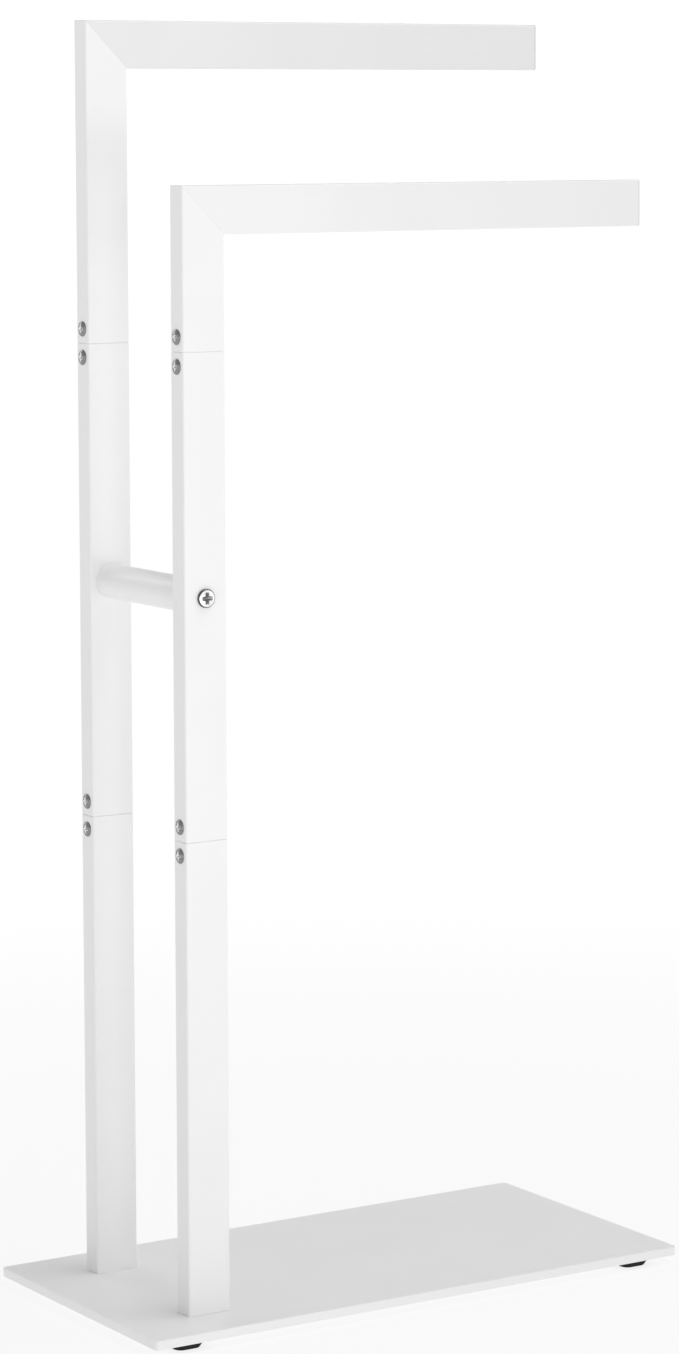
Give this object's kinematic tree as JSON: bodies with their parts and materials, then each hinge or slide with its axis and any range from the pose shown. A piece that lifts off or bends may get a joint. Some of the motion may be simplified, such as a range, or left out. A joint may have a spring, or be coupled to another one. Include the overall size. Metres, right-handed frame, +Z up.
{
  "type": "freestanding towel rack",
  "caption": "Freestanding towel rack: flat rectangular base plate, sectional posts joined by a round spacer, and horizontal bars at different heights, open at one end.",
  "frame": {"origin": "centre of the base plate, at floor level under the rubber feet", "axes": "+Z up, +X along the bars from the posts to the free ends, +Y from the lower front bar to the higher rear bar"},
  "size_m": [0.4, 0.2, 0.8155],
  "materials": {
    "white_powder_coat": "smooth satin powder coat",
    "bright_screw": "bright nickel plated",
    "grey_screw": "grey zinc plated",
    "plain_steel": "zinc plated",
    "black_rubber": "matte moulded"
  },
  "bodies": {
    "root": {"base_plate": "white_powder_coat", "spacer_tube": "white_powder_coat", "front_lower_post": "white_powder_coat", "front_middle_post": "white_powder_coat", "front_upper_post": "white_powder_coat", "front_towel_bar": "white_powder_coat", "front_bar_end_cap": "white_powder_coat", "rear_lower_post": "white_powder_coat", "rear_middle_post": "white_powder_coat", "rear_upper_post": "white_powder_coat", "rear_towel_bar": "white_powder_coat", "rear_bar_end_cap": "white_powder_coat", "front_spacer_screw": "bright_screw", "rear_spacer_screw": "bright_screw", "front_lower_joint_screws": "grey_screw", "front_upper_joint_screws": "grey_screw", "rear_lower_joint_screws": "grey_screw", "rear_upper_joint_screws": "grey_screw", "base_screws": "plain_steel", "foot_washers": "plain_steel", "foot_screws": "plain_steel", "front_post_foot_block": "plain_steel", "front_spacer_insert": "plain_steel", "front_lower_joint_sleeve": "plain_steel", "front_lower_joint_nuts": "plain_steel", "front_upper_joint_sleeve": "plain_steel", "front_upper_joint_nuts": "plain_steel", "rear_post_foot_block": "plain_steel", "rear_spacer_insert": "plain_steel", "rear_lower_joint_sleeve": "plain_steel", "rear_lower_joint_nuts": "plain_steel", "rear_upper_joint_sleeve": "plain_steel", "rear_upper_joint_nuts": "plain_steel", "rubber_foot_front_left": "black_rubber", "rubber_foot_front_right": "black_rubber", "rubber_foot_rear_left": "black_rubber", "rubber_foot_rear_right": "black_rubber"}
  },
  "joints": []
}
